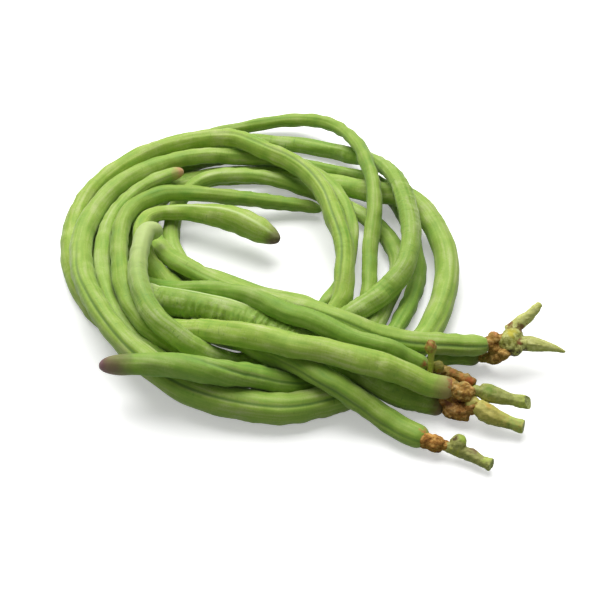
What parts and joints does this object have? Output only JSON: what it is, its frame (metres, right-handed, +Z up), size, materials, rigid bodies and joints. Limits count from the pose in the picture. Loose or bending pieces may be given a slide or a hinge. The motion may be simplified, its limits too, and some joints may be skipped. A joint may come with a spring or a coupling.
{
  "type": "yardlong bean bunch",
  "caption": "Long slender green bean pods laid in a loose ring, with their dried calyces and cut flower stalks lying together at one end.",
  "frame": {"origin": "under the middle of the bunch's bounding box, on the surface it lies on", "axes": "+Z up; +X to the right, towards the stalk ends of the pods; +Y across the ring, away from the side where the stalk ends cross it"},
  "size_m": [0.2078, 0.2096, 0.0317],
  "materials": {
    "pod_green": "fresh bean skin, waxy and softly lit, with fine ridges along the seam",
    "pod_pale": "paler fresh bean skin, waxy and softly lit, with fine ridges along the seam",
    "calyx": "dried brown calyx, rough and scaly",
    "stalk": "fresh yellow-green flower stalk with brown scars"
  },
  "bodies": {
    "root": {"pod_upper_pair_back": "pod_green", "pod_upper_pair_front": "pod_pale", "pod_middle_back": "pod_green", "pod_middle_front": "pod_pale", "pod_middle_low": "pod_green", "pod_lower": "pod_pale", "calyx_upper_back": "calyx", "calyx_upper_front": "calyx", "calyx_middle_back": "calyx", "calyx_middle_front": "calyx", "calyx_middle_low": "calyx", "calyx_lower": "calyx", "stalk_upper": "stalk", "stalk_middle_short": "stalk", "stalk_middle": "stalk", "stalk_lower": "stalk", "flower_stub": "stalk", "flower_bud": "stalk"}
  },
  "joints": []
}
